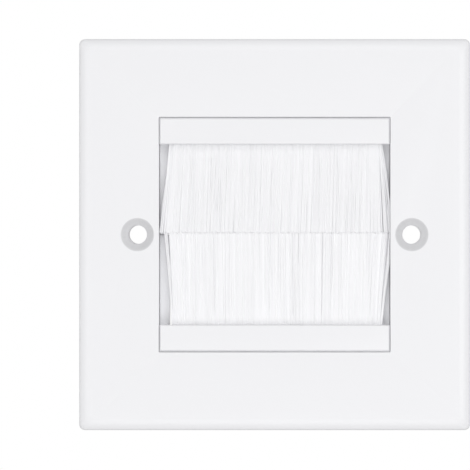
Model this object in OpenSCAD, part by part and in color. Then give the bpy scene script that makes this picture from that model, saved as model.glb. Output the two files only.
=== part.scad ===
// Brush wall plate: a square moulded plate whose opening is closed by two brushes, so that
// cables pass through the wall between the filaments.
// The wall is the plane Y = 0 and the room lies towards -Y. Z is up. The origin is midway
// between the two fixing holes, on the wall.
// A brush is described with its height measured outwards from the middle line of the
// opening, and the lower brush is the upper one turned over.

/* [Face plate] */
// Width of the plate
plate_w = 86; // [80:1:100]
// Height of the plate
plate_h = 86; // [80:1:100]
// Depth from the wall to the front face
plate_d = 9; // [8.5:0.25:11]
// Radius of the outline's corners
corner_r = 1.3; // [0.6:0.1:2]
// Width of the pillowed border
border_w = 2.8; // [2:0.1:3.4]
// Radius of the border's long curve
crown_r = 4.5; // [4:0.1:7]
// Radius where the border turns into the side
edge_r = 0.8; // [0.4:0.1:1.2]
// Thickness of the front skin
skin_t = 2.4; // [1.8:0.1:3]
// Thickness of the outer wall
wall_t = 2.2; // [1.8:0.1:3]

/* [Fixing holes] */
// Distance between the two fixing holes
fixing_spacing = 60.3; // [59.5:0.1:61]
// Diameter of a fixing hole
fixing_d = 4.1; // [3.6:0.1:4.4]
// Diameter of the countersink at the front face
sink_d = 7.1; // [6.6:0.1:8]
// Included angle of the countersink
sink_angle = 90; // [80:1:100]
// Diameter of the boss behind a fixing hole, which merges into the collar
boss_d = 9.6; // [9:0.1:11]
// Gap between a boss and the wall
boss_back = 0.3; // [0.1:0.1:1]

/* [Opening] */
// Distance from the opening's edge to the middle of a fixing hole
fixing_land = 4.7; // [4.5:0.1:5.5]
// Height of the opening
aperture_h = 51.7; // [49:0.1:54]
// Radius of the opening's corners
aperture_r = 0.25; // [0.1:0.05:0.3]
// Thickness of the collar round the opening
collar_t = 1.6; // [1.2:0.1:2]
// How far the collar's ledge stands into the opening
ledge_w = 0.9; // [0.7:0.1:1.2]
// Thickness of the ledge
ledge_t = 1.2; // [0.8:0.1:1.4]

/* [Ribs] */
// Thickness of a stiffening rib
rib_t = 1.2; // [0.8:0.1:1.6]
// Distance of the ribs from the middle lines of the plate
rib_place = 14; // [10:0.5:18]
// Gap between the ribs and the wall
rib_back = 2.6; // [1:0.1:4]

/* [Carriers] */
// Gap that shows in front between the bars and the opening
fit_gap = 0.35; // [0.2:0.05:0.5]
// Depth of that gap, behind which the carriers nearly fill the opening
groove_d = 0.6; // [0.4:0.1:1.2]
// Gap all round between the carriers and the opening behind it
slide_gap = 0.1; // [0.05:0.05:0.15]
// Height of the bar that shows in front
bar_h = 5.6; // [5:0.1:7]
// Thickness of the bar's front wall
front_t = 1.4; // [1:0.1:1.6]
// Thickness of the wall on the far side of the strip's pocket
outer_t = 1.75; // [1.5:0.05:2]
// Bevel on the bar's front edges
bar_bevel = 0.18; // [0.1:0.02:0.3]
// Thickness of the cheek at each end of the bar
cheek_t = 1.75; // [1.5:0.05:2]
// Width of a side arm
arm_w = 2.2; // [1.8:0.1:2.6]
// Gap between the filaments and the arms behind them
arm_gap = 0.35; // [0.2:0.05:0.6]
// Gap between the arms of the two carriers
split_gap = 0.1; // [0.05:0.05:0.3]
// Gap between a carrier and the ledge that it rests on
seat_gap = 0.1; // [0.05:0.05:0.2]
// Height of the two lips that keep the channel in
lip_h = 1; // [0.8:0.1:1.2]
// How far each lip stands into the pocket
lip_t = 0.6; // [0.4:0.05:0.7]

/* [Snap tongues] */
// Distance of a tongue from the middle
tongue_x = 12; // [8:0.5:16]
// Width of a tongue
tongue_w = 8; // [6:0.5:10]
// Gap between a tongue and the ledge's edge
tongue_gap = 0.1; // [0.05:0.05:0.2]
// How far the barb stands out from the tongue
barb_h = 0.7; // [0.5:0.1:0.9]
// Length of the barb's slope
barb_l = 1.7; // [1.2:0.1:2.4]
// Gap between the barb and the ledge's back
barb_gap = 0.05; // [0.05:0.05:0.2]

/* [Brush strips] */
// Gap between each end of a strip and its pocket
strip_end = 0.2; // [0.1:0.05:0.6]
// Width of the channel from front to back
channel_w = 3.3; // [3.1:0.1:3.5]
// Thickness of the channel's steel
channel_t = 0.45; // [0.4:0.05:0.5]
// Gap between the channel and its pocket
strip_gap = 0.05; // [0.02:0.01:0.1]
// How far each crimped edge of the channel is turned in
crimp_t = 0.1; // [0.05:0.05:0.2]
// Height of the crimped edges
crimp_h = 0.4; // [0.3:0.05:0.6]
// Diameter of the core wire
wire_d = 1; // [0.8:0.1:1.1]
// Gap between the filaments' fold and the steel round it
fold_gap = 0.04; // [0.02:0.01:0.06]

/* [Clamp bars] */
// Thickness of a clamp bar from front to back
clamp_t = 2.4; // [2:0.1:2.6]
// Gap between a clamp bar and its pocket
clamp_gap = 0.1; // [0.05:0.05:0.2]
// Distance of a clamp bar's lugs from the middle
lug_x = 19; // [18.5:0.5:19.5]
// Width of a lug
lug_w = 5; // [3:0.5:6]
// Height of a lug
lug_h = 0.9; // [0.6:0.1:1]
// Thickness of a lug
lug_t = 1; // [0.8:0.1:1.1]
// Depth of the hollows in a clamp bar's back
hollow_d = 1.1; // [0.6:0.1:1.3]

/* [Bristles] */
// Diameter of a tuft of filaments
tuft_d = 0.48; // [0.4:0.02:0.5]
// Distance between tufts along a row
tuft_pitch = 0.66; // [0.64:0.02:0.9]
// Rows of tufts from front to back
tuft_rows = 3; // [2:1:3]
// Distance between the rows
row_pitch = 0.68; // [0.64:0.02:0.7]
// Gap between a tuft's tip and the middle line of the opening
tip_gap = 0.1; // [0.05:0.05:0.3]
// How much shorter than the rest a tuft may be
tip_uneven = 0.35; // [0:0.05:0.8]
// How far a tuft may sway out of line at its tip
tip_sway = 0.06; // [0:0.01:0.08]
// How far the upper brush's end tufts lean out, left and right
upper_lean = [1.6, 1.4]; // [0:0.1:1.8]
// How far the lower brush's end tufts lean out, left and right
lower_lean = [0.5, 1.5]; // [0:0.1:1.8]

/* [Hidden] */
$fn = 48;

// How far a cutting shape runs past the face that it opens
past = 1;
// Straight pieces in a quarter turn of a drawn arc
arc_steps = 8;
// The power at which the tufts' lean grows towards the ends
lean_power = 5;
// Numbers that start the two brushes' random draws
upper_seed = 11;
lower_seed = 29;

front_y = -plate_d;
skin_y = front_y + skin_t;
sink_depth = (sink_d - fixing_d) / 2 / tan(sink_angle / 2);

// The opening fills the width that the fixing holes leave
aperture_w = fixing_spacing - 2 * fixing_land;

// The brushes, from the opening inwards
face_w = aperture_w - 2 * fit_gap;
face_out = aperture_h / 2 - fit_gap;
groove_y = front_y + groove_d;
carrier_w = aperture_w - 2 * slide_gap;
bar_out = aperture_h / 2 - slide_gap;
bar_in = face_out - bar_h;
pocket_out = bar_out - outer_t;
pocket_in = bar_in + lip_h;
pocket_y = front_y + front_t;
channel_y = pocket_y + strip_gap + channel_w / 2;
channel_out = pocket_out - strip_gap;
channel_in = pocket_in + strip_gap;
clamp_y = channel_y + channel_w / 2 + strip_gap;
carrier_y = clamp_y + clamp_t + clamp_gap;
lug_y = carrier_y - lug_t - clamp_t / 3;
pocket_w = carrier_w - 2 * cheek_t;
strip_l = pocket_w - 2 * strip_end;
clamp_w = pocket_w - 2 * clamp_gap;
rows_w = (tuft_rows - 1) * row_pitch + tuft_d;
arm_y = channel_y + rows_w / 2 + arm_gap;

// The carriers' backs rest on the ledge, and the collar ends with it
ledge_y = carrier_y + seat_gap;
collar_y = ledge_y + ledge_t;

// The folded filaments fill the channel round the wire
fold_w = channel_w - 2 * channel_t - 2 * fold_gap;
neck_w = fold_w - 2 * crimp_t;
fold_out = channel_out - channel_t - fold_gap;
neck_out = channel_in + crimp_h + fold_gap;
wire_place = fold_out - fold_w / 2;
fold_l = strip_l - 2 * fold_gap;
tuft_count = floor((fold_l - 2 * tuft_d) / tuft_pitch) - 1;
tuft_root = neck_out;

// Points of an arc about a centre, from one angle to another
function arc(centre, r, from, to, steps) =
    [for (i = [0:steps]) let (a = from + (to - from) * i / steps)
        centre + r * [cos(a), sin(a)]];

// Outline of a rectangle with round corners
function round_rect(w, h, r) = concat(
    arc([w / 2 - r, h / 2 - r], r, 0, 90, arc_steps),
    arc([r - w / 2, h / 2 - r], r, 90, 180, arc_steps),
    arc([r - w / 2, r - h / 2], r, 180, 270, arc_steps),
    arc([w / 2 - r, r - h / 2], r, 270, 360, arc_steps));

// The border in section, from the wall to the front: how far in from the edge, and the depth.
// The edge's small curve hands over to the long one where the two touch, and the long curve
// meets the flat front square to it.
function border_section() =
    let (
        crown_c = [border_w, front_y + crown_r],
        rise = sqrt(pow(crown_r - edge_r, 2) - pow(border_w - edge_r, 2)),
        edge_c = [edge_r, crown_c[1] - rise],
        turn = asin((border_w - edge_r) / (crown_r - edge_r))
    )
    concat(
        [[0, 0]],
        arc(edge_c, edge_r, 180, 270 - turn, arc_steps),
        [for (i = [1:2 * arc_steps]) let (a = 270 - turn + turn * i / 2 / arc_steps)
            crown_c + crown_r * [cos(a), sin(a)]]);

// A section in depth and height, drawn out along X
module along_x(length) {
    rotate([90, 0, 90])
        linear_extrude(height = length, center = true)
            children();
}

// An outline across the front, drawn out from one depth to another
module along_y(from, to) {
    translate([0, to, 0])
        rotate([90, 0, 0])
            linear_extrude(height = to - from)
                children();
}

// The upper brush's solids stay, and the lower brush's are turned over
module at_brush(lower) {
    mirror([0, 0, lower ? 1 : 0])
        children();
}

// Copies a piece to both sides of the middle
module both_sides() {
    children();
    mirror([1, 0, 0])
        children();
}

// Face plate

// The round outline is carried along the border's section, and closed at both ends
module plate_body() {
    section = border_section();
    last = len(section) - 1;
    count = 4 * (arc_steps + 1);
    points = [
        for (step = section)
            for (p = round_rect(plate_w - 2 * step[0], plate_h - 2 * step[0], corner_r))
                [p[0], step[1], p[1]]
    ];
    sides = [for (i = [0:last - 1], j = [0:count - 1]) let (next = (j + 1) % count)
        [i * count + j, (i + 1) * count + j, (i + 1) * count + next, i * count + next]];
    wall_end = [for (j = [0:count - 1]) j];
    front_end = [for (j = [count - 1:-1:0]) last * count + j];
    polyhedron(points = points, faces = concat([wall_end], sides, [front_end]));
}

module plate_hollow() {
    along_y(skin_y, past)
        square([plate_w - 2 * wall_t, plate_h - 2 * wall_t], center = true);
}

module collar() {
    along_y(skin_y - skin_t / 2, collar_y)
        square([aperture_w + 2 * collar_t, aperture_h + 2 * collar_t], center = true);
}

module fixing_boss() {
    translate([fixing_spacing / 2, -boss_back, 0])
        rotate([90, 0, 0])
            cylinder(d = boss_d, h = plate_d - boss_back - skin_t / 2);
}

// Ribs cross the hollow from the collar to the outer wall
module ribs() {
    for (side = [-1, 1]) {
        along_y(skin_y - skin_t / 2, -rib_back)
            translate([side * rib_place, 0])
                square([rib_t, plate_h - wall_t], center = true);
        along_y(skin_y - skin_t / 2, -rib_back)
            translate([0, side * rib_place])
                square([plate_w - wall_t, rib_t], center = true);
    }
}

module opening() {
    along_y(front_y - past, ledge_y)
        polygon(round_rect(aperture_w, aperture_h, aperture_r));
    along_y(ledge_y - past, collar_y + past)
        square([aperture_w - 2 * ledge_w, aperture_h - 2 * ledge_w], center = true);
}

module fixing_hole() {
    translate([fixing_spacing / 2, past, 0])
        rotate([90, 0, 0])
            cylinder(d = fixing_d, h = plate_d + 2 * past);
    translate([fixing_spacing / 2, front_y + sink_depth, 0])
        rotate([90, 0, 0])
            cylinder(d1 = fixing_d, d2 = sink_d + 2 * past * tan(sink_angle / 2), h = sink_depth + past);
}

module face_plate() {
    color("white")
        difference() {
            union() {
                difference() {
                    plate_body();
                    plate_hollow();
                }
                collar();
                both_sides()
                    fixing_boss();
                ribs();
            }
            opening();
            both_sides()
                fixing_hole();
        }
}

// Brushes

// The bar's face, which stands clear of the opening all round
module face_section() {
    polygon([
        [front_y + bar_bevel, bar_in], [pocket_y, bar_in],
        [pocket_y, face_out], [front_y + bar_bevel, face_out],
        [front_y, face_out - bar_bevel], [front_y, bar_in + bar_bevel],
    ]);
}

// Front wall with its lip, and the wall on the far side of the pocket
module bar_section() {
    polygon([
        [groove_y, bar_in], [pocket_y + lip_t, bar_in],
        [pocket_y + lip_t, pocket_in], [pocket_y, pocket_in],
        [pocket_y, pocket_out], [carrier_y, pocket_out],
        [carrier_y, bar_out], [groove_y, bar_out],
    ]);
}

// The cheek closes the pocket's end, and its foot runs down into the arm
module cheek() {
    translate([(carrier_w - cheek_t) / 2, 0, 0])
        along_x(cheek_t)
            polygon([
                [groove_y, bar_in], [arm_y, bar_in],
                [arm_y, bar_in - cheek_t], [carrier_y, bar_in - cheek_t],
                [carrier_y, bar_out], [groove_y, bar_out],
            ]);
}

module arm() {
    translate([carrier_w / 2 - arm_w, arm_y, split_gap / 2])
        cube([arm_w, carrier_y - arm_y, bar_in - split_gap / 2]);
}

// The tongue passes the ledge and its barb catches behind it
module tongue() {
    tongue_out = aperture_h / 2 - ledge_w - tongue_gap;
    barb_y = collar_y + barb_gap;
    translate([tongue_x, 0, 0])
        along_x(tongue_w)
            polygon([
                [carrier_y - past, pocket_out], [barb_y + barb_l, pocket_out],
                [barb_y + barb_l, tongue_out], [barb_y, tongue_out + barb_h],
                [barb_y, tongue_out], [carrier_y - past, tongue_out],
            ]);
}

// A window in the pocket's far wall takes a lug of the clamp bar
module lug_window() {
    translate([lug_x, 0, 0])
        along_x(lug_w + 2 * clamp_gap)
            translate([lug_y - clamp_gap, pocket_out - past])
                square([lug_t + 2 * clamp_gap, outer_t + 2 * past]);
}

module carrier() {
    color("white")
        difference() {
            union() {
                along_x(face_w)
                    face_section();
                along_x(carrier_w)
                    bar_section();
                both_sides() {
                    cheek();
                    arm();
                    tongue();
                }
            }
            both_sides()
                lug_window();
        }
}

module clamp_bar() {
    color("white")
        difference() {
            union() {
                along_x(clamp_w)
                    polygon([
                        [clamp_y, pocket_in], [clamp_y - lip_t + strip_gap, pocket_in],
                        [clamp_y - lip_t + strip_gap, bar_in + clamp_gap],
                        [clamp_y + clamp_t, bar_in + clamp_gap],
                        [clamp_y + clamp_t, pocket_out - clamp_gap],
                        [clamp_y, pocket_out - clamp_gap],
                    ]);
                both_sides()
                    clamp_lug();
            }
            clamp_hollows();
        }
}

// The lug slopes at the back, so that it slides in under the carrier's wall
module clamp_lug() {
    foot = pocket_out - clamp_gap - lug_t / 2;
    tip = pocket_out - clamp_gap + lug_h;
    translate([lug_x, 0, 0])
        along_x(lug_w)
            polygon([
                [lug_y, foot], [lug_y + lug_t, foot],
                [lug_y + lug_t, tip], [lug_y, pocket_out],
            ]);
}

// Three hollows in the back keep the moulding's walls even
module clamp_hollows() {
    hollow_w = clamp_w / 3 - 2 * rib_t;
    height = pocket_out - bar_in - 2 * rib_t;
    for (i = [-1:1])
        translate([i * clamp_w / 3 - hollow_w / 2, clamp_y + clamp_t - hollow_d, bar_in + rib_t])
            cube([hollow_w, hollow_d + past, height]);
}

// The channel is folded from strip, and its edges are crimped on the filaments
module channel() {
    half = channel_w / 2;
    inner = half - channel_t;
    color("silver")
        translate([0, channel_y, 0])
            along_x(strip_l)
                polygon([
                    [-half, channel_in], [-half, channel_out], [half, channel_out],
                    [half, channel_in], [inner - crimp_t, channel_in],
                    [inner - crimp_t, channel_in + crimp_h - crimp_t],
                    [inner, channel_in + crimp_h],
                    [inner, channel_out - channel_t], [-inner, channel_out - channel_t],
                    [-inner, channel_in + crimp_h],
                    [crimp_t - inner, channel_in + crimp_h - crimp_t],
                    [crimp_t - inner, channel_in],
                ]);
}

module core_wire() {
    color("silver")
        translate([-strip_l / 2, channel_y, wire_place])
            rotate([0, 90, 0])
                cylinder(d = wire_d, h = strip_l);
}

// How far a tuft leans out at its tip
function lean_at(x, lean) =
    (x < 0 ? -lean[0] : lean[1]) * pow(abs(x) / (fold_l / 2), lean_power);

module tuft(x, y, lean, tip) {
    drop = tuft_root - tip;
    translate([x, channel_y + y, tuft_root])
        mirror([0, 0, 1])
            rotate([0, atan(lean / drop), 0])
                cylinder(d = tuft_d, h = norm([drop, lean]), $fn = 6);
}

// One row of tufts. Each row starts a little further along than the row in front of it
module tuft_row(row, lean, seed) {
    sway = rands(-tip_sway, tip_sway, tuft_count, seed + row);
    short = rands(0, tip_uneven, tuft_count, seed + tuft_rows + row);
    start = -(tuft_count - 1) * tuft_pitch / 2 + (row - (tuft_rows - 1) / 2) * tuft_pitch / tuft_rows;
    for (i = [0:tuft_count - 1])
        let (x = start + i * tuft_pitch)
            tuft(x, (row - (tuft_rows - 1) / 2) * row_pitch, lean_at(x, lean) + sway[i], tip_gap + short[i]);
}

// The filaments' fold lies round the core wire, and its neck fills the channel's mouth
module fold() {
    difference() {
        translate([0, channel_y, 0])
            along_x(fold_l)
                polygon(concat(
                    arc([0, wire_place], fold_w / 2, 0, 180, 2 * arc_steps),
                    [[-fold_w / 2, neck_out], [-neck_w / 2, neck_out], [-neck_w / 2, channel_in],
                     [neck_w / 2, channel_in], [neck_w / 2, neck_out], [fold_w / 2, neck_out]]));
        translate([-strip_l / 2, channel_y, wire_place])
            rotate([0, 90, 0])
                cylinder(d = wire_d + 2 * fold_gap, h = strip_l);
    }
}

module bristles(lean, seed) {
    color("whitesmoke") {
        fold();
        for (row = [0:tuft_rows - 1])
            tuft_row(row, lean, seed);
    }
}

face_plate();
at_brush(false) carrier();  // upper_carrier
at_brush(true) carrier();  // lower_carrier
at_brush(false) channel();  // upper_channel
at_brush(true) channel();  // lower_channel
at_brush(false) core_wire();  // upper_core_wire
at_brush(true) core_wire();  // lower_core_wire
at_brush(false) clamp_bar();  // upper_clamp_bar
at_brush(true) clamp_bar();  // lower_clamp_bar
at_brush(false) bristles(upper_lean, upper_seed);  // upper_bristles
at_brush(true) bristles(lower_lean, lower_seed);  // lower_bristles
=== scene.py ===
# %% [markdown]
# # A brush wall plate
# A brush wall plate covers the hole where cables come out of a wall. A square moulding is
# fixed over the hole, and two strip brushes close its opening, so that a cable passes
# between the filaments and the hole still looks tidy and keeps out draughts.
#
# The construction is already made: it is loaded here as a fixed frame, and each node's
# mesh lies where the real piece lies. This lesson gives every piece its finish, softens
# the moulded edges, and grows the filaments.

# %% The tools and the frame
import math

import bmesh
import bpy
from mathutils import Matrix, Vector


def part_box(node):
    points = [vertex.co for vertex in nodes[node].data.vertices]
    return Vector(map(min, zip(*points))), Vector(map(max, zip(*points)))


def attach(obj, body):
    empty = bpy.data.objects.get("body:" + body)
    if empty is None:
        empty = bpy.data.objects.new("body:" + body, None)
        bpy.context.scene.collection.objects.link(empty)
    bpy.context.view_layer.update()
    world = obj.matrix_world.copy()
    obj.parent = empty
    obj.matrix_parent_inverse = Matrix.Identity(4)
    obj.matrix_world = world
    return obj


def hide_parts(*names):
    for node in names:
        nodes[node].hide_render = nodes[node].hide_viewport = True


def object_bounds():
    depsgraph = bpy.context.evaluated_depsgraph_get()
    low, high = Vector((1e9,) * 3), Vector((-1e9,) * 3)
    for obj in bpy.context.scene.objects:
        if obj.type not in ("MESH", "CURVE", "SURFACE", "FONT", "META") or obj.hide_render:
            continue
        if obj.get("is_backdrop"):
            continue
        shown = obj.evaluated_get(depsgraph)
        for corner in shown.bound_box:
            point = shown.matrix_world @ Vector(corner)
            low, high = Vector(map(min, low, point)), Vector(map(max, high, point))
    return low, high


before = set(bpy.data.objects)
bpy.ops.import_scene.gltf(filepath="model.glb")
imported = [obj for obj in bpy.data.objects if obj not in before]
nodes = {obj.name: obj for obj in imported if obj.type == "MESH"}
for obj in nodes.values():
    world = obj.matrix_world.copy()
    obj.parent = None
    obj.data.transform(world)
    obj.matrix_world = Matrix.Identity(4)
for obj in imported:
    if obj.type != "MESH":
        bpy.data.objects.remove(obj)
cad_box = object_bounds()
MM = 0.001
print("nodes:", ", ".join(sorted(nodes)))

# %% [markdown]
# ## Where the faces are
# A piece that is added has to meet what carries it, so its place comes from the frame's
# own boxes. The plate's box gives the front face and the outline, the core wire's box the
# line that the filaments are folded about and the length of a brush, and the carrier's
# box how far to the side the filaments may reach. No box tells where the fixing holes
# are, so their place and the radius of a countersink are named here.

# %% Places taken from the frame
plate_low, plate_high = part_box("face_plate")
FRONT_Y = plate_low.y
PLATE_W = plate_high.x - plate_low.x
PLATE_H = plate_high.z - plate_low.z
wire_low, wire_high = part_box("upper_core_wire")
WIRE_Y = (wire_low.y + wire_high.y) / 2
WIRE_Z = (wire_low.z + wire_high.z) / 2
STRIP_HALF = wire_high.x
_, carrier_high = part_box("upper_carrier")
FIXING_X = 30.15 * MM
SINK_R = 3.55 * MM
print(f"plate {PLATE_W / MM:.1f} x {PLATE_H / MM:.1f} mm, front at y = {FRONT_Y / MM:.1f} mm")
print(f"core wire at y = {WIRE_Y / MM:.2f} mm and z = {WIRE_Z / MM:.2f} mm")
print(f"half a strip is {STRIP_HALF / MM:.1f} mm long")

# %% [markdown]
# ## Shader maths as plain expressions
# A finish such as polished plastic is mostly small variations: a little more or less
# gloss, a trace of ripple. They are sums and products of noise, and a chain of Math nodes
# is hard to read. A small class wraps a socket, so that `0.3 + ripple * 0.05` adds the
# nodes by itself. Colours go through Mix nodes, because a Math node would turn them grey.

# %% A socket that understands arithmetic
class Value:
    """A node's output socket, with the operators that the finishes below use."""

    def __init__(self, finish, socket):
        self.finish = finish
        self.socket = socket

    def _math(self, operation, *inputs):
        return self.finish.node("ShaderNodeMath", {"operation": operation}, *inputs)

    def __add__(self, other):
        return self._math("ADD", self, other)

    __radd__ = __add__

    def __sub__(self, other):
        return self._math("SUBTRACT", self, other)

    def __rsub__(self, other):
        return self._math("SUBTRACT", other, self)

    def __mul__(self, other):
        return self._math("MULTIPLY", self, other)

    __rmul__ = __mul__


print("a Value can be added, subtracted and multiplied")

# %% [markdown]
# ## Naming a socket
# A node's socket can be found by its label or by its number. Labels are easier to read,
# but a Math node gives all its sockets one label, and a Mix node has a set of sockets for
# each kind of value. A short function takes either, for materials and for Geometry Nodes.

# %% A label or a number
def socket_place(name):
    """The label, where an underscore stands for a space, or the number after an i."""
    by_order = name[0] == "i" and name[1:].isdigit()
    return int(name[1:]) if by_order else name.replace("_", " ")


print("Half_Length means", repr(socket_place("Half_Length")), "and i2 means", socket_place("i2"))

# %% [markdown]
# ## One class for a finish
# Every finish below is one Principled BSDF with a few textures in front of it. A class
# keeps the material and its tree together. One method adds any node: its settings come
# first, because some of them change the sockets, and then the values or links. The other
# methods are short names for what several finishes need: noise with features of a given
# size, a blend of two colours, a fade between two distances, a bump of a given depth.

# %% A finish: one material with its nodes
class Finish:
    """A material built around one Principled BSDF."""

    def __init__(self, name):
        self.material = bpy.data.materials.new(name)
        self.material.use_nodes = True
        self.tree = self.material.node_tree
        self.shader = self.tree.nodes["Principled BSDF"]

    def node(self, kind, settings=None, *inputs, output=0, **named):
        """Adds a node: its settings first, then its sockets by order or by name."""
        made = self.tree.nodes.new(kind)
        for key, value in (settings or {}).items():
            setattr(made, key, value)
        for place, value in enumerate(inputs):
            self.feed(made.inputs[place], value)
        for name, value in named.items():
            self.feed(made.inputs[socket_place(name)], value)
        return Value(self, made.outputs[output])

    def feed(self, socket, value):
        if isinstance(value, Value):
            self.tree.links.new(value.socket, socket)
        else:
            socket.default_value = value

    def set(self, **sockets):
        """Gives the shader its values."""
        for name, value in sockets.items():
            self.feed(self.shader.inputs[socket_place(name)], value)

    def place(self, scale=(1, 1, 1)):
        """Object coordinates in millimetres, stretched by scale."""
        coordinates = self.node("ShaderNodeTexCoord", output="Object")
        return self.node("ShaderNodeMapping", None, coordinates, Scale=[s / MM for s in scale])

    def noise(self, size_mm, detail=2.0, scale=(1, 1, 1)):
        """Noise from 0 to 1 with features of about size_mm."""
        return self.node("ShaderNodeTexNoise", None, self.place(scale),
                         Scale=1 / size_mm, Detail=detail)

    def blend(self, factor, low, high):
        """A colour between two. In a Mix node, sockets 6 and 7 are the two colours."""
        return self.node("ShaderNodeMix", {"data_type": "RGBA"}, factor,
                         i6=low, i7=high, output=2)

    def fade(self, value, start, end):
        """0 where value is start, 1 where it is end, and smooth between."""
        return self.node("ShaderNodeMapRange", {"interpolation_type": "SMOOTHSTEP"},
                         value, start, end)

    def from_fixing(self):
        """How far a point lies from the nearer fixing hole's axis, in millimetres."""
        parts = self.node("ShaderNodeSeparateXYZ", None, self.place()).socket.node.outputs
        x, _, z = (Value(self, part) for part in parts)
        from_middle = self.node("ShaderNodeMath", {"operation": "ABSOLUTE"}, x)
        aside = from_middle - FIXING_X / MM
        return self.node("ShaderNodeMath", {"operation": "SQRT"}, aside * aside + z * z)

    def bump(self, height, depth_mm, strength=1.0):
        """A surface raised by height, a value of about 0 to 1."""
        return self.node("ShaderNodeBump", None, Height=height, Distance=depth_mm * MM,
                         Strength=strength, output="Normal")


print("Finish is ready")

# %% [markdown]
# ## Polished white moulding
# The plate and the carriers are pressed from white thermoset powder in a polished mould.
# Its white is a touch cool. Such a surface is smooth but never perfect: it ripples very
# slightly where the powder flowed, and its gloss and tone vary a little. An image of one
# could show that, but noise needs no file and has no seam. Three noises at three scales
# are used, all so faint that only the highlights show them.
#
# The two countersinks look darker than the face, and darkest towards their rim, because
# their slopes are turned away from the light in front. The lamps of this scene shine into
# them from the sides and wash that out, so the finish paints that shade into them. A second
# material could do that, but a piece has one slot, so the plate would have to be two pieces.
# A painted shade that follows the distance from a hole's axis keeps it one.

# %% The painted shade of the countersinks
# How bright the painted shade leaves a countersink near its throat and near its rim, as shares of
# the face.
THROAT_SHADE_SHARE = 0.87
RIM_SHADE_SHARE = 0.82
# How far inside the countersink's edge each share is reached, in millimetres.
THROAT_INSIDE = 1.4
RIM_INSIDE = 0.5
# How far outside the edge the painted shade is still full, and has ended, in millimetres.
SHADE_FULL = 0.06
SHADE_ENDED = 0.16


# Painted shade: darkens the countersinks towards their rim, by the distance from a hole's axis.
def painted_sink_shade(finish, face, shade):
    throat, rim = (tuple(share * c for c in shade[:3]) + (1,)
                   for share in (THROAT_SHADE_SHARE, RIM_SHADE_SHARE))
    away = finish.from_fixing()
    edge = SINK_R / MM
    cone = finish.blend(finish.fade(away, edge - THROAT_INSIDE, edge - RIM_INSIDE), throat, rim)
    return finish.blend(finish.fade(away, edge + SHADE_ENDED, edge + SHADE_FULL), face, cone)


# Shows how far the painted shade of the countersinks reaches.
print(f"countersinks are tinted to {SHADE_ENDED} mm beyond a radius of {SINK_R / MM:.2f} mm")

# %% Polished moulding
def polished_moulding(name, colour, shade, roughness, sinks=False):
    finish = Finish(name)
    flow = finish.noise(size_mm=14, detail=3)
    cloud = finish.noise(size_mm=3.5, detail=4)
    grain = finish.noise(size_mm=0.18, detail=1)
    ripple = finish.bump(cloud * 0.7 + grain * 0.3, depth_mm=0.004, strength=0.6)
    tint = finish.blend(flow, colour, shade)
    finish.set(
        # Where sinks is set, the base colour carries the painted shade of the countersinks.
        Base_Color=painted_sink_shade(finish, tint, shade) if sinks else tint,
        Roughness=cloud * 0.08 + (roughness - 0.04),
        Normal=ripple,
        IOR=1.5,
    )
    print("made", name)
    return finish.material


WHITE = (0.868, 0.868, 0.886, 1)
WHITE_SHADE = (0.860, 0.860, 0.878, 1)
# The plate's finish carries the painted shade of its countersinks.
plate_plastic = polished_moulding("plate_plastic", WHITE, WHITE_SHADE, roughness=0.37, sinks=True)
carrier_plastic = polished_moulding("carrier_plastic", WHITE, WHITE_SHADE, roughness=0.36)

# %% [markdown]
# ## Satin moulding
# The clamp bars are injection moulded in a tougher plastic, from a mould that was left
# with a fine spark-eroded texture, so they are greyer and duller than the front. Bump and
# gloss could have a noise each, but in the mould both come from the same pits, so one fine
# noise drives both.

# %% Satin moulding
def satin_moulding(name, colour, shade):
    finish = Finish(name)
    erosion = finish.noise(size_mm=0.12, detail=3)
    flow = finish.noise(size_mm=6, detail=2)
    finish.set(
        Base_Color=finish.blend(flow, colour, shade),
        Roughness=erosion * 0.12 + 0.42,
        Normal=finish.bump(erosion, depth_mm=0.012, strength=0.7),
        IOR=1.49,
    )
    print("made", name)
    return finish.material


CLAMP_WHITE = (0.79, 0.79, 0.80, 1)
CLAMP_SHADE = (0.75, 0.75, 0.76, 1)
clamp_plastic = satin_moulding("clamp_plastic", CLAMP_WHITE, CLAMP_SHADE)

# %% [markdown]
# ## Galvanised steel
# The channels are folded from zinc-coated strip and the core wire is drawn and coated.
# Zinc sets in spangles, patches of slightly different grey and gloss, and the strip keeps
# fine rolling lines along its length. A cell texture gives the spangles, and a noise that
# is stretched along X gives the lines. They are only a hundredth of a millimetre deep, so
# a bump is enough and nothing is modelled.

# %% Galvanised steel
ZINC_DARK = (0.52, 0.53, 0.55, 1)
ZINC_LIGHT = (0.68, 0.69, 0.70, 1)


def galvanised_steel(name):
    finish = Finish(name)
    spangle = finish.node("ShaderNodeTexVoronoi", {"feature": "F1"}, finish.place(),
                          Scale=0.9, output="Color")
    patch = finish.node("ShaderNodeSeparateColor", None, spangle)
    lines = finish.noise(size_mm=0.25, detail=2, scale=(0.06, 1, 1))
    finish.set(
        Base_Color=finish.blend(patch, ZINC_DARK, ZINC_LIGHT),
        Roughness=patch * 0.14 + lines * 0.12 + 0.22,
        Normal=finish.bump(lines, depth_mm=0.01, strength=0.5),
        Metallic=1.0,
    )
    print("made", name)
    return finish.material


steel = galvanised_steel("galvanised_steel")

# %% [markdown]
# ## White nylon filament
# A nylon filament is a smooth, slightly milky rod. Side by side they differ a little in
# brightness, because each one is turned and bent in its own way. Every filament carries a
# random tone in an attribute, and every point of it its distance along the filament, so
# the finish can paint light onto the tips, where light enters the cut ends, and paint shade
# onto the roots.
#
# Milky nylon also passes light on from one filament to the next, so a brush is bright far
# into its depth. Subsurface scattering would be the true way, but on rods this thin it
# loses most of the light. A faint, even emission gives it back.

# %% Nylon filaments
NYLON_DEEP = (0.823, 0.823, 0.838, 1)
NYLON_BRIGHT = (0.925, 0.925, 0.940, 1)
NYLON_GLOW = (0.98, 0.98, 1.0, 1)


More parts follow.
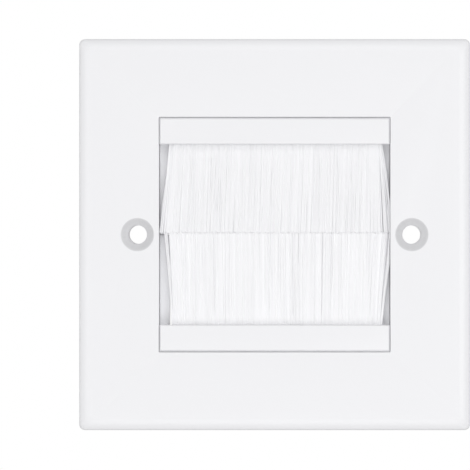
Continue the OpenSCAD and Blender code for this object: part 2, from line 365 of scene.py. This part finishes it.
def nylon_filament(name):
    finish = Finish(name)
    tone = finish.node("ShaderNodeAttribute", {"attribute_name": "tone"}, output="Fac")
    along = finish.node("ShaderNodeAttribute", {"attribute_name": "along"}, output="Fac")
    draw_marks = finish.noise(size_mm=0.6, detail=2, scale=(1, 1, 0.15))
    finish.set(
        # Random tone, plus painted light towards the tips and painted shade at the roots, by along.
        Base_Color=finish.blend(tone * 0.8 + along * 0.15, NYLON_DEEP, NYLON_BRIGHT),
        Roughness=tone * 0.10 + draw_marks * 0.08 + 0.42,
        IOR=1.53,
        Emission_Color=NYLON_GLOW,
        Emission_Strength=0.07,
    )
    print("made", name)
    return finish.material


nylon = nylon_filament("filaments")

# %% [markdown]
# ## Softened edges on the mouldings
# No moulded edge is sharp: the mould's own corners are rounded by about a tenth of a
# millimetre, and that thin round catches the light as a bright line. The frame's mesh has
# ideal edges, so a copy of it is merged, its flat faces are joined up, and a Bevel
# modifier rounds every edge that turns by more than a given angle. The pillowed border
# turns by a few degrees at each step, so it is left alone and only shaded smooth.

# %% A copy of a node with softened edges
MERGE_DISTANCE = 0.0004 * MM
FLAT_ANGLE = math.radians(0.4)
EDGE_ANGLE = math.radians(28)
EDGE_SEGMENTS = 3


def softened(node, material, radius):
    mesh = nodes[node].data.copy()
    shell = bmesh.new()
    shell.from_mesh(mesh)
    bmesh.ops.remove_doubles(shell, verts=shell.verts, dist=MERGE_DISTANCE)
    bmesh.ops.dissolve_limit(shell, angle_limit=FLAT_ANGLE, verts=shell.verts, edges=shell.edges)
    for face in shell.faces:
        face.smooth = True
    shell.to_mesh(mesh)
    shell.free()
    rough = bpy.data.objects.new(node + "_edges", mesh)
    bpy.context.scene.collection.objects.link(rough)
    bevel = rough.modifiers.new("edge_round", "BEVEL")
    bevel.width = radius
    bevel.segments = EDGE_SEGMENTS
    bevel.limit_method = "ANGLE"
    bevel.angle_limit = EDGE_ANGLE
    bevel.harden_normals = True
    bevel.use_clamp_overlap = True
    evaluated = rough.evaluated_get(bpy.context.evaluated_depsgraph_get())
    done = bpy.data.objects.new(node + "_finished", bpy.data.meshes.new_from_object(evaluated))
    bpy.data.objects.remove(rough)
    bpy.context.scene.collection.objects.link(done)
    done.data.materials.clear()
    done.data.materials.append(material)
    print(f"{node}: {len(done.data.polygons)} faces after its edges were rounded")
    return done


print(f"edges that turn by more than {math.degrees(EDGE_ANGLE):.0f} degrees will be rounded")

# %% [markdown]
# ## Whose piece is it
# Nothing on the plate moves, so every piece rides on the one body. A finished piece also
# prints its slot's name, and the node that it stands for is hidden.

# %% Settling a finished piece
def settle(piece, slot, *stands_for):
    """Every piece rides on the one body, and stands for the nodes that it hides."""
    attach(piece, "root")
    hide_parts(*stands_for)
    print(f"{piece.name} is in slot {slot} and stands for {', '.join(stands_for)}")


print("every finished piece will ride on the root")

# %% [markdown]
# The plate, both carriers and both clamp bars are finished in this way. The radius is
# 0.07 mm on the front mouldings, so that the narrow gaps round the bars stay narrow, and
# 0.15 mm on the clamp bars, which are coarser and lie out of sight.

# %% The mouldings
FRONT_ROUND = 0.07 * MM
CLAMP_ROUND = 0.15 * MM

for moulding, finish, slot_name, radius in [
    ("face_plate", plate_plastic, "plate_plastic", FRONT_ROUND),
    ("upper_carrier", carrier_plastic, "carrier_plastic", FRONT_ROUND),
    ("lower_carrier", carrier_plastic, "carrier_plastic", FRONT_ROUND),
    ("upper_clamp_bar", clamp_plastic, "clamp_plastic", CLAMP_ROUND),
    ("lower_clamp_bar", clamp_plastic, "clamp_plastic", CLAMP_ROUND),
]:
    settle(softened(moulding, finish, radius), slot_name, moulding)

# %% [markdown]
# ## The steel pieces
# The channels and the core wires are right as they come from the frame: thin folded strip
# and plain wire. They only take the galvanised finish.

# %% Channels and core wires
for name in ("upper_channel", "lower_channel", "upper_core_wire", "lower_core_wire"):
    part = nodes[name]
    part.data.materials.clear()
    part.data.materials.append(steel)
    print(name, "is galvanised")

# %% [markdown]
# ## A filament
# Each brush is grown from four thousand filaments, set closer than real ones could stand,
# so that nothing shows through it. That leaves some twenty faces for each. A filament is
# a four-sided rod, one unit long, that points down, with enough rings to bend. Its corners
# are turned by half a side, so that a flat side faces the front and the brush looks calm.
# Two rings lie close to the ends, because smooth shading turns between the last ring and
# the cap, and over a long stretch that would darken the roots and tips.

# %% The rod that is copied
ROD_SIDES = 4
ROD_PLACES = (0, 0.07, 0.38, 0.68, 0.985, 1)
ROD_RINGS = len(ROD_PLACES)


def rod_mesh():
    mesh = bpy.data.meshes.new("rod")
    corners = [math.tau * (s + 0.5) / ROD_SIDES for s in range(ROD_SIDES)]
    points = [(math.cos(a), math.sin(a), -place) for place in ROD_PLACES for a in corners]
    faces = []
    for ring in range(ROD_RINGS - 1):
        for corner in range(ROD_SIDES):
            following = (corner + 1) % ROD_SIDES
            low, high = ring * ROD_SIDES, (ring + 1) * ROD_SIDES
            faces.append((low + corner, high + corner, high + following, low + following))
    faces.append(tuple(range(ROD_SIDES)))
    faces.append(tuple(reversed(range((ROD_RINGS - 1) * ROD_SIDES, ROD_RINGS * ROD_SIDES))))
    mesh.from_pydata(points, [], faces)
    mesh.polygons.foreach_set("use_smooth", [i < len(faces) - 2 for i in range(len(faces))])
    return mesh


rod = bpy.data.objects.new("rod", rod_mesh())
print("one rod has", len(rod.data.polygons), "faces")

# %% [markdown]
# ## A small helper for Geometry Nodes
# A tree is easier to read as a list of steps than as boxes and wires. `Tree` adds a node
# with its settings and inputs in one line, and hands back one of its outputs.

# %% Writing a Geometry Nodes tree
class Tree:
    """A Geometry Nodes group with named inputs."""

    def __init__(self, name):
        self.group = bpy.data.node_groups.new(name, "GeometryNodeTree")
        self.group.is_modifier = True
        for way in ("INPUT", "OUTPUT"):
            self.group.interface.new_socket("Geometry", in_out=way,
                                            socket_type="NodeSocketGeometry")
        self.identifiers = {}
        self.entry = self.group.nodes.new("NodeGroupInput")
        self.exit = self.group.nodes.new("NodeGroupOutput")

    def input(self, name, kind, default):
        socket = self.group.interface.new_socket(name, in_out="INPUT",
                                                 socket_type="NodeSocket" + kind)
        if default is not None:
            socket.default_value = default
        self.identifiers[name] = socket.identifier

    def add(self, kind, settings=None, output=0, **inputs):
        """Adds a node and hands back one of its outputs."""
        of_geometry = not kind.startswith(("Shader", "Function"))
        made = self.group.nodes.new("GeometryNode" + kind if of_geometry else kind)
        for key, value in (settings or {}).items():
            setattr(made, key, value)
        for name, value in inputs.items():
            socket = made.inputs[socket_place(name)]
            if isinstance(value, bpy.types.NodeSocket):
                self.group.links.new(value, socket)
            else:
                socket.default_value = value
        return made.outputs[output]

    def math(self, operation, a, b=0.0, c=0.0):
        return self.add("ShaderNodeMath", {"operation": operation}, i0=a, i1=b, i2=c)

    def vector(self, x, y, z):
        return self.add("ShaderNodeCombineXYZ", i0=x, i1=y, i2=z)

    def chance(self, low, high, seed):
        """A random number for each point."""
        return self.add("FunctionNodeRandomValue", {"data_type": "FLOAT"}, output=1,
                        i2=low, i3=high, Seed=seed)

    def keep(self, geometry, name, kind, value):
        """Stores a value on each point under a name."""
        return self.add("StoreNamedAttribute", {"data_type": kind, "domain": "POINT"},
                        Geometry=geometry, Name=name, Value=value)

    def kept(self, name, kind):
        """Reads what was stored under a name."""
        return self.add("InputNamedAttribute", {"data_type": kind}, Name=name)


print("Tree is ready")

# %% [markdown]
# ## The filaments of one brush
# On the real strip the filaments are folded about a wire and clamped in the channel, so
# they leave it as a dense, slightly irregular band. Those in the middle hang nearly
# straight, and those near the ends stand outwards, because nothing beside them holds them
# in. A hair system could grow them, but its strands would have to be turned into mesh
# again. A tree that sets a rod on each of many points gives mesh at once, and each of its
# sizes is an input with a name. Lengths are in metres.

# %% The inputs of the tree
tree = Tree("filaments_along_a_strip")
for name, kind, default in [
    ("Filaments", "Int", 1000),
    ("Rows", "Int", 6),
    ("Half Length", "Float", 0.02),
    ("Root Shift", "Float", 0.0),
    ("Band Depth", "Float", 0.002),
    ("Length", "Float", 0.02),
    ("Uneven Tips", "Float", 0.0003),
    ("Filament Radius", "Float", 0.0001),
    ("Drift", "Float", 0.0),
    ("Fan", "Float", 0.0),
    ("Lean Left", "Float", 0.001),
    ("Lean Right", "Float", 0.001),
    ("Lean Power", "Float", 5.0),
    ("Sway", "Float", 0.0002),
    ("Clumps", "Float", 24.0),
    ("Clump Sway", "Float", 0.0008),
    ("Stray", "Float", 0.001),
    ("Splay From", "Float", 0.99),
    ("Splay Spread", "Float", 0.5),
    ("Splay Left", "Float", 0.0005),
    ("Splay Right", "Float", 0.0005),
    ("Side Limit", "Float", 0.025),
    ("Tone Shift", "Float", 0.2),
    ("Seed", "Int", 1),
    ("Filament", "Object", None),
    ("Finish", "Material", None),
]:
    tree.input(name, kind, default)
given = tree.entry.outputs
print("the tree has", len(tree.identifiers), "named inputs")

# %% [markdown]
# ### Points over the strip
# The points fill the strip in rows from front to back. Each lies at random within its own
# cell: without the randomness the brush would look like a comb, and without the cells it
# would have bald places. `side` runs from -1 at the left end to 1 at the right end.

# %% Points over the strip
ACROSS_JITTER = (0.15, 0.85)
BACK_JITTER = (0.35, 0.65)


def draw(low, high, number):
    """A random number for each filament. Every number gives another draw."""
    return tree.chance(low, high, tree.math("ADD", given["Seed"], number))


index = tree.add("InputIndex")
row = tree.math("MODULO", index, given["Rows"])
column = tree.math("FLOOR", tree.math("DIVIDE", index, given["Rows"]))
columns = tree.math("DIVIDE", given["Filaments"], given["Rows"])
across = tree.math("DIVIDE", tree.math("ADD", column, draw(*ACROSS_JITTER, 0)), columns)
back = tree.math("DIVIDE", tree.math("ADD", row, draw(*BACK_JITTER, 1)), given["Rows"])
side = tree.math("MULTIPLY_ADD", across, 2.0, -1.0)
root_x = tree.math("MULTIPLY_ADD", side, given["Half Length"], given["Root Shift"])
root_y = tree.math("MULTIPLY", tree.math("SUBTRACT", back, 0.5), given["Band Depth"])
points = tree.add("Points", Count=given["Filaments"], Position=tree.vector(root_x, root_y, 0.0))
print("points lie in rows, each at random within its cell")

# %% [markdown]
# ### How the strip leans as a whole
# A strip can drift a little to one side, as it was last stroked, or fan out slightly from
# its middle. Towards the ends the lean grows with a high power of the distance from the
# middle, because only the last millimetres are free to open out. The very last filaments,
# past Splay From, stand off from the others, each by its own share.

# %% The lean of the strip
is_right = tree.math("GREATER_THAN", side, 0.0)
from_middle = tree.math("ABSOLUTE", side)


def outwards(left, right):
    """An amount to the left on the left half, and one to the right on the right half."""
    return tree.add("ShaderNodeMix", i0=is_right, i2=tree.math("MULTIPLY", left, -1.0), i3=right)


at_end = tree.math("GREATER_THAN", from_middle, given["Splay From"])
held_back = tree.math("MULTIPLY", draw(0.0, 1.0, 10), given["Splay Spread"])
share = tree.math("MULTIPLY", at_end, tree.math("SUBTRACT", 1.0, held_back))
splay = tree.math("MULTIPLY", outwards(given["Splay Left"], given["Splay Right"]), share)
rise = tree.math("POWER", from_middle, given["Lean Power"])
lean = tree.math("MULTIPLY_ADD", outwards(given["Lean Left"], given["Lean Right"]), rise, splay)
combed = tree.math("ADD", lean, tree.math("MULTIPLY_ADD", side, given["Fan"], given["Drift"]))
print("the strip can drift, fan out and splay at its ends")

# %% [markdown]
# ### How each filament goes its own way
# Neighbours cling together, so they lean in clumps: a noise along the strip, shifted a
# little from row to row, gives them a common sway. Each has a small sway of its own, and a
# few stray far. A high power of a random number makes such a rare thing, because it is
# near nothing for most filaments.

# %% Clumps, sway and strays
CLUMP_ROW_STEP = 0.45
STRAY_POWER = 12.0

cell = tree.vector(tree.math("MULTIPLY", across, given["Clumps"]),
                   tree.math("MULTIPLY", row, CLUMP_ROW_STEP), given["Seed"])
clump = tree.add("ShaderNodeTexNoise", Vector=cell, Scale=1.0, Detail=1.0)
common = tree.math("MULTIPLY", tree.math("SUBTRACT", clump, 0.5), given["Clump Sway"])
wander = tree.math("ADD", tree.math("MULTIPLY", draw(-1.0, 1.0, 2), given["Sway"]), common)
rarely = tree.math("POWER", draw(0.0, 1.0, 3), STRAY_POWER)
far = tree.math("MULTIPLY", draw(-1.0, 1.0, 4), given["Stray"])
bend_x = tree.math("ADD", combed, tree.math("MULTIPLY_ADD", rarely, far, wander))
bend_y = tree.math("MULTIPLY", draw(-0.5, 0.5, 5), given["Sway"])
print("filaments sway in clumps, and a few stray")

# %% [markdown]
# ### What each point keeps
# The rods are bent only after they have become mesh, and by then the point that carried a
# rod is gone. So each point stores its bend, its length and its tone, and every vertex of
# its rod inherits them. The tone is shared by a clump in part, because clinging filaments
# are turned alike to the light.

# %% Bend, reach and tone
SHINE_SCALE = 1.4
SHINE_TONE = 0.45
OWN_TONE = 0.25

short = tree.math("MULTIPLY", draw(0.0, 1.0, 6), given["Uneven Tips"])
reach = tree.math("SUBTRACT", given["Length"], short)
shine = tree.add("ShaderNodeTexNoise", Vector=cell, Scale=SHINE_SCALE, Detail=1.0)
spread = tree.math("MULTIPLY_ADD", shine, SHINE_TONE, draw(0.0, OWN_TONE, 7))
tone = tree.math("ADD", spread, given["Tone Shift"])
points = tree.keep(points, "bend", "FLOAT_VECTOR", tree.vector(bend_x, bend_y, root_x))
points = tree.keep(points, "reach", "FLOAT", reach)
points = tree.keep(points, "tone", "FLOAT", tone)
print("each point keeps its bend, reach and tone")

# %% [markdown]
# ### Rods on the points
# A rod is set on each point, a little thicker or thinner and turned a little, and made
# real. Then every vertex moves sideways by its bend, times a power of how far along the
# rod it lies, which gives a soft curve from the root. No vertex passes Side Limit: what
# would go further lies along the wall beside the brush, as real filaments do.

# %% Rods, made real and bent
# Thickness is a share of the filament's own, and the turn is in radians.
THICKNESS = (0.85, 1.15)
TURN = 0.35
CURVE_POWER = 1.25

thin = tree.math("MULTIPLY", given["Filament Radius"], draw(*THICKNESS, 8))
model = tree.add("ObjectInfo", output="Geometry", Object=given["Filament"])
copies = tree.add("InstanceOnPoints", Points=points, Instance=model,
                  Rotation=tree.vector(0.0, 0.0, draw(-TURN, TURN, 9)),
                  Scale=tree.vector(thin, thin, reach))
real = tree.add("RealizeInstances", Geometry=copies)
height = tree.add("ShaderNodeSeparateXYZ", output=2, i0=tree.add("InputPosition"))
along = tree.math("DIVIDE", tree.math("MULTIPLY", height, -1.0), tree.kept("reach", "FLOAT"))
curve = tree.math("POWER", tree.math("MAXIMUM", along, 0.0), CURVE_POWER)
own_bend = tree.add("ShaderNodeSeparateXYZ", i0=tree.kept("bend", "FLOAT_VECTOR"))
aside, forwards, from_x = own_bend.node.outputs
free_x = tree.math("MULTIPLY_ADD", aside, curve, from_x)
left_limit = tree.math("MULTIPLY", given["Side Limit"], -1.0)
held_x = tree.math("MINIMUM", tree.math("MAXIMUM", free_x, left_limit), given["Side Limit"])
shift = tree.vector(tree.math("SUBTRACT", held_x, from_x),
                    tree.math("MULTIPLY", forwards, curve), 0.0)
marked = tree.keep(real, "along", "FLOAT", along)
bent = tree.add("SetPosition", Geometry=marked, Offset=shift)
coloured = tree.add("SetMaterial", Geometry=bent, Material=given["Finish"])
tree.group.links.new(coloured, tree.exit.inputs["Geometry"])
print("the tree has", len(tree.group.nodes), "nodes")

# %% [markdown]
# ## Growing the two brushes
# Both brushes come from the same tree. A modifier's inputs are set by the sockets'
# identifiers before the object is first evaluated. The result is taken as plain mesh and
# moved to the wire, and the lower brush is turned over, which turns its faces inside out,
# so they are flipped back.

# %% Grow, turn and place
ROOT_DROP = 0.6 * MM


def grow_brush(name, node, lower, **values):
    holder = bpy.data.objects.new(name + "_holder", bpy.data.meshes.new(name + "_holder"))
    bpy.context.scene.collection.objects.link(holder)
    modifier = holder.modifiers.new("filaments", "NODES")
    modifier.node_group = tree.group
    for key, value in {**values, "Filament": rod, "Finish": nylon}.items():
        modifier[tree.identifiers[socket_place(key)]] = value
    evaluated = holder.evaluated_get(bpy.context.evaluated_depsgraph_get())
    mesh = bpy.data.meshes.new_from_object(evaluated)
    bpy.data.objects.remove(holder)
    mesh.transform(Matrix.Translation((0, WIRE_Y, WIRE_Z - ROOT_DROP)))
    if lower:
        mesh.transform(Matrix.Scale(-1, 4, (0, 0, 1)))
        mesh.flip_normals()
    brush = bpy.data.objects.new(name, mesh)
    bpy.context.scene.collection.objects.link(brush)
    print(f"{name}: {len(mesh.polygons)} faces")
    settle(brush, "filaments", node)


print(f"roots start {ROOT_DROP / MM:.1f} mm from the core wire's axis")

# %% [markdown]
# The brushes meet a little above the middle of the opening. Each reaches slightly past
# that line, as real tips do, or a dark slit would show between them. The upper one hangs a
# little to the left and has loose strands at its right end, and the lower one fans out and
# has a loose strand at its left end. The lower one is a little brighter, so its tone is
# shifted up.

# %% The two brushes
MEET_Z = 0.4 * MM
TIP_OVERLAP = 0.2 * MM
SIDE_GAP = 0.1 * MM
BRUSH = {
    "Filaments": 4000,
    "Rows": 12,
    "Band_Depth": 1.6 * MM,
    "Uneven_Tips": 0.3 * MM,
    "Filament_Radius": 0.15 * MM,
    "Lean_Power": 7.0,
    "Sway": 0.08 * MM,
    "Clumps": 16.0,
    "Clump_Sway": 1.7 * MM,
    "Side_Limit": carrier_high.x - SIDE_GAP,
}
grow_brush(
    "upper_filaments", "upper_bristles", False, **BRUSH, Seed=5,
    Length=WIRE_Z - ROOT_DROP - MEET_Z + TIP_OVERLAP,
    Half_Length=STRIP_HALF - 0.15 * MM, Root_Shift=0.15 * MM,
    Drift=-0.7 * MM, Lean_Left=0.8 * MM, Lean_Right=1.3 * MM,
    Splay_From=0.984, Splay_Spread=0.97, Splay_Left=0.9 * MM, Splay_Right=3.6 * MM,
    Stray=0.9 * MM, Tone_Shift=0.0)
grow_brush(
    "lower_filaments", "lower_bristles", True, **BRUSH, Seed=71,
    Length=WIRE_Z - ROOT_DROP + MEET_Z + TIP_OVERLAP,
    Half_Length=STRIP_HALF - 0.45 * MM, Root_Shift=0.45 * MM,
    Fan=0.5 * MM, Lean_Left=0.4 * MM, Lean_Right=1.3 * MM,
    Splay_From=0.988, Splay_Spread=0.12, Splay_Left=0.85 * MM, Splay_Right=1.0 * MM,
    Stray=1.4 * MM, Tone_Shift=0.3)

# %% [markdown]
# ## The stage
# The plate is shown against plain white. The world is white to the camera and to glossy
# rays, and dimmer as a light, so the white moulding keeps its own tone in front of it. A
# pale floor lies half a metre below the plate. Nearer, it would cut off the lower lamp.

# %% The floor
FLOOR_DROP = 0.5
FLOOR_HALF = 1.6
PAPER_DARK = (0.80, 0.80, 0.80, 1)
PAPER_LIGHT = (0.84, 0.84, 0.84, 1)


def pale_floor():
    mesh = bpy.data.meshes.new("floor")
    level = plate_low.z - FLOOR_DROP
    corners = [(-1, -1), (1, -1), (1, 1), (-1, 1)]
    mesh.from_pydata([(x * FLOOR_HALF, y * FLOOR_HALF, level) for x, y in corners],
                     [], [(0, 1, 2, 3)])
    floor = bpy.data.objects.new("floor", mesh)
    bpy.context.scene.collection.objects.link(floor)
    finish = Finish("floor_paper")
    speck = finish.noise(size_mm=2.0, detail=3)
    finish.set(Base_Color=finish.blend(speck, PAPER_DARK, PAPER_LIGHT), Roughness=0.9)
    mesh.materials.append(finish.material)
    floor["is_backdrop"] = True
    print(f"the floor lies at z = {level:.3f} m")


pale_floor()

# %% The world
WORLD_LIGHT = 0.47


def white_world():
    world = bpy.data.worlds.new("studio")
    world.use_nodes = True
    bpy.context.scene.world = world
    made, links = world.node_tree.nodes, world.node_tree.links
    path = made.new("ShaderNodeLightPath").outputs

    def either(first, second):
        largest = made.new("ShaderNodeMath")
        largest.operation = "MAXIMUM"
        links.new(first, largest.inputs[0])
        links.new(second, largest.inputs[1])
        return largest.outputs[0]

    mirrored = either(path["Is Glossy Ray"], path["Is Transmission Ray"])
    level = made.new("ShaderNodeMix")
    links.new(either(path["Is Camera Ray"], mirrored), level.inputs[0])
    level.inputs[2].default_value = WORLD_LIGHT
    level.inputs[3].default_value = 1.0
    sky = made["Background"]
    sky.inputs["Color"].default_value = (1, 1, 1, 1)
    links.new(level.outputs[0], sky.inputs["Strength"])


white_world()
print("the world is white to look at, and lights at", WORLD_LIGHT)

# %% [markdown]
# ## The lamps
# The pillowed border is a little brighter than the flat field just inside it, on all four
# sides, and darker at its rim. A border that turns by about fifteen degrees mirrors what
# lies thirty degrees off the plate's axis, so four softboxes stand there, left, right,
# above and below, and the flat field mirrors the gap between them, where the camera is.
# The right and the lower one are stronger, because the field brightens to the lower right.

# %% Four softboxes round the plate's axis
LAMP_DISTANCE = 0.6
LAMP_SIDE = 0.25
LAMP_ANGLE = 30


def softbox(name, around, radiance):
    """A square lamp that faces the plate. Around is measured from the right, anticlockwise."""
    light = bpy.data.lights.new(name, "AREA")
    light.shape = "SQUARE"
    light.size = LAMP_SIDE
    light.energy = radiance * math.pi * LAMP_SIDE ** 2
    lamp = bpy.data.objects.new(name, light)
    tilt, turn = math.radians(LAMP_ANGLE), math.radians(around)
    towards = Vector((math.sin(tilt) * math.cos(turn), -math.cos(tilt),
                      math.sin(tilt) * math.sin(turn)))
    lamp.location = towards * LAMP_DISTANCE
    lamp.rotation_euler = towards.to_track_quat("Z", "Y").to_euler()
    bpy.context.scene.collection.objects.link(lamp)


for name, around, radiance in [
    ("right_box", 0, 3.6),
    ("top_box", 90, 2.45),
    ("left_box", 180, 2.4),
    ("bottom_box", 270, 3.3),
]:
    softbox(name, around, radiance)
print("four softboxes,", LAMP_ANGLE, "degrees off the axis")

# %% [markdown]
# ## The camera
# The photograph looks straight at the plate, which lies right of the middle of the frame.
# A camera that is shifted sideways keeps the plate square on, as a camera that was turned
# towards it would not. Its place shows in the fixing holes: the far end of each bore lies
# nearer to the plate's middle than its countersink does, by more on the left than on the
# right. So the eye is about 0.9 m away and 8 mm right of the plate's middle.

# %% A straight camera with a sideways shift
PHOTO_SIDE = 470
PLATE_CENTRE_PX = (274.6, 234.6)
PX_PER_MM = 4.552
CAMERA_DISTANCE = 0.9
EYE_X = 8 * MM

camera_data = bpy.data.cameras.new("camera")
camera = bpy.data.objects.new("camera", camera_data)
bpy.context.scene.collection.objects.link(camera)
bpy.context.scene.camera = camera
camera.location = (EYE_X, FRONT_Y - CAMERA_DISTANCE, 0)
camera.rotation_euler = (math.radians(90), 0, 0)
view_width = PHOTO_SIDE / PX_PER_MM * MM
camera_data.lens = camera_data.sensor_width * CAMERA_DISTANCE / view_width
camera_data.shift_x = (PHOTO_SIDE / 2 - PLATE_CENTRE_PX[0]) / PHOTO_SIDE - EYE_X / view_width
camera_data.shift_y = (PLATE_CENTRE_PX[1] - PHOTO_SIDE / 2) / PHOTO_SIDE
print(f"lens {camera_data.lens:.1f} mm, shift {camera_data.shift_x:.4f}, {camera_data.shift_y:.4f}")

bpy.context.scene.view_settings.view_transform = "Standard"

# %% [markdown]
# ## Sizes, and the end
# The finished piece has to stay within the frame's own box, so the difference between the
# two boxes at each side is printed, in millimetres.

# %% Both boxes
dressed_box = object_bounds()
growth = [round((b - a) / MM, 3) for pair in zip(cad_box, dressed_box) for a, b in zip(*pair)]
print("growth in mm:", growth)
